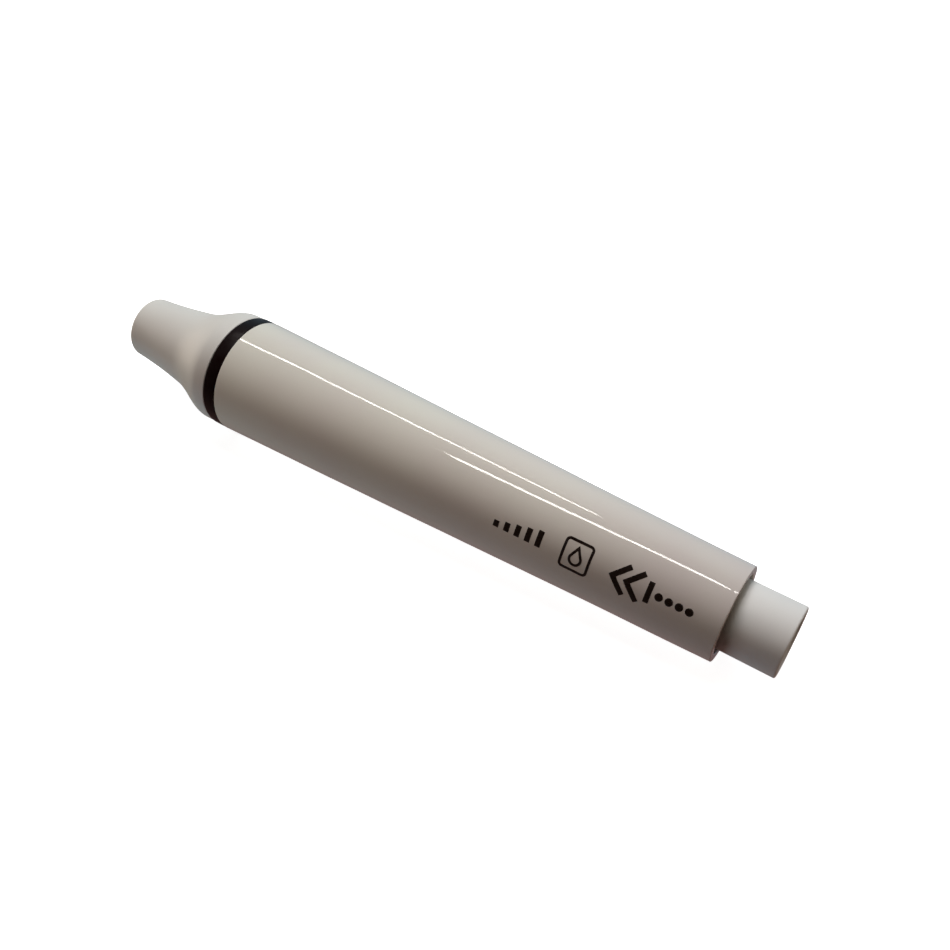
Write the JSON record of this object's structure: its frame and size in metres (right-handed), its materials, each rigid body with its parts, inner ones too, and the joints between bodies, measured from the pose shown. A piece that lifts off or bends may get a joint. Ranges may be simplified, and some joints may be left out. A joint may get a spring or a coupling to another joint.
{
  "type": "ultrasonic scaler handpiece",
  "caption": "Slim tapered piezo scaler handpiece: screw-off nose cone, black seal ring, glossy handle, plug-in tail socket and a threaded stud for a scaler tip.",
  "frame": {"origin": "on the axis, in the plane of the handle's rear face, where the cable coupling stops", "axes": "+X along the handpiece towards the nose; +Z towards the key slot in the tail socket; +Y towards the live contact pin"},
  "size_m": [0.118, 0.019, 0.019],
  "materials": {
    "nose_plastic": "fine matt moulded white plastic, cool grey-white",
    "seal_rubber": "satin black rubber",
    "handle_plastic": "glossy warm grey-white moulded plastic",
    "collar_steel": "turned stainless steel",
    "housing_plastic": "natural insulating plastic",
    "titanium": "turned titanium alloy",
    "piezo_ceramic": "matt ceramic with silvered faces",
    "electrode_copper": "thin beryllium copper sheet",
    "sleeve_plastic": "white low-friction plastic",
    "stack_steel": "turned stainless steel",
    "silicone": "translucent silicone",
    "lead_red": "insulated wire",
    "lead_blue": "insulated wire",
    "tail_plastic": "fine matt moulded white plastic",
    "carrier_plastic": "dark insulating plastic",
    "gold_contact": "gold-plated contact",
    "print_ink": "thin near-black printed marks on the handle"
  },
  "bodies": {
    "handle": {"handle_shell": "handle_plastic", "front_collar": "collar_steel", "inner_housing": "housing_plastic", "flange_clamp_ring": "collar_steel", "horn": "titanium", "horn_oring_front": "seal_rubber", "horn_oring_rear": "seal_rubber", "piezo_ring_1": "piezo_ceramic", "piezo_ring_2": "piezo_ceramic", "piezo_ring_3": "piezo_ceramic", "piezo_ring_4": "piezo_ceramic", "electrode_hot_front": "electrode_copper", "electrode_ground_front": "electrode_copper", "electrode_hot_rear": "electrode_copper", "electrode_ground_rear": "electrode_copper", "insulating_sleeve": "sleeve_plastic", "stack_stud": "stack_steel", "rear_mass": "stack_steel", "clamp_nut": "stack_steel", "water_tube": "silicone", "hot_lead": "lead_red", "ground_lead": "lead_blue", "tail_socket": "tail_plastic", "tail_oring": "seal_rubber", "pin_carrier": "carrier_plastic", "contact_pin_hot": "gold_contact", "contact_pin_ground": "gold_contact", "water_nipple": "stack_steel", "nipple_oring": "seal_rubber"},
    "ring": {"seal_ring": "seal_rubber"},
    "nose": {"nose_cone": "nose_plastic"}
  },
  "joints": [
    {"name": "nose_travel", "type": "slide", "parent": "handle", "child": "ring", "axis": [1, 0, 0], "range_m": [0, 0.004]},
    {"name": "nose_turn", "type": "hinge", "parent": "ring", "child": "nose", "pos_m": [0.0887, 0, 0], "axis": [1, 0, 0], "range_deg": [0, 1440]}
  ],
  "couplings": [
    {"joint": "nose_turn", "follows": "nose_travel", "rad_per_m": 6283.2}
  ]
}
